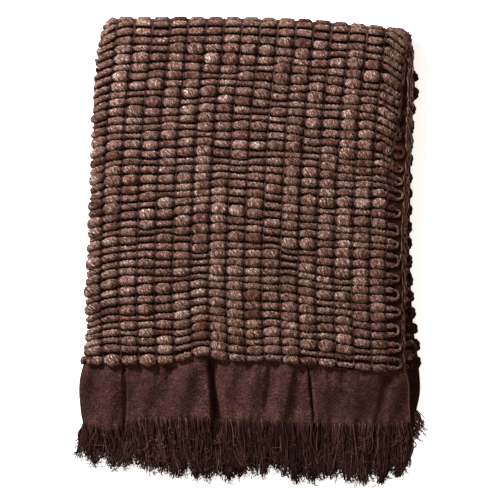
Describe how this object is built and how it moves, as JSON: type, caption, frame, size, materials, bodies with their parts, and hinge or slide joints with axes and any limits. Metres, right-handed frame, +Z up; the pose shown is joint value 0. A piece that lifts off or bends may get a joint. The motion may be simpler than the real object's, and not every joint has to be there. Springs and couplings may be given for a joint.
{
  "type": "woven throw blanket, folded",
  "caption": "Chunky woven throw folded lengthwise and crosswise into a flat stack, with plain bands and fringes at one end.",
  "frame": {"origin": "middle of the base that lies on the surface", "axes": "+Y towards the crosswise fold, +X towards the selvedges, +Z up"},
  "size_m": [0.6576, 0.895, 0.0502],
  "materials": {
    "slub_yarn": "thick heathered brown wool-like yarn, matt",
    "ground_cloth": "plain-woven dark brown cloth, matt",
    "warp_ends": "fine dark brown threads, matt"
  },
  "bodies": {
    "root": {"throw_cloth": "slub_yarn", "fringe_upper_end": "warp_ends", "fringe_lower_end": "warp_ends"}
  },
  "joints": []
}
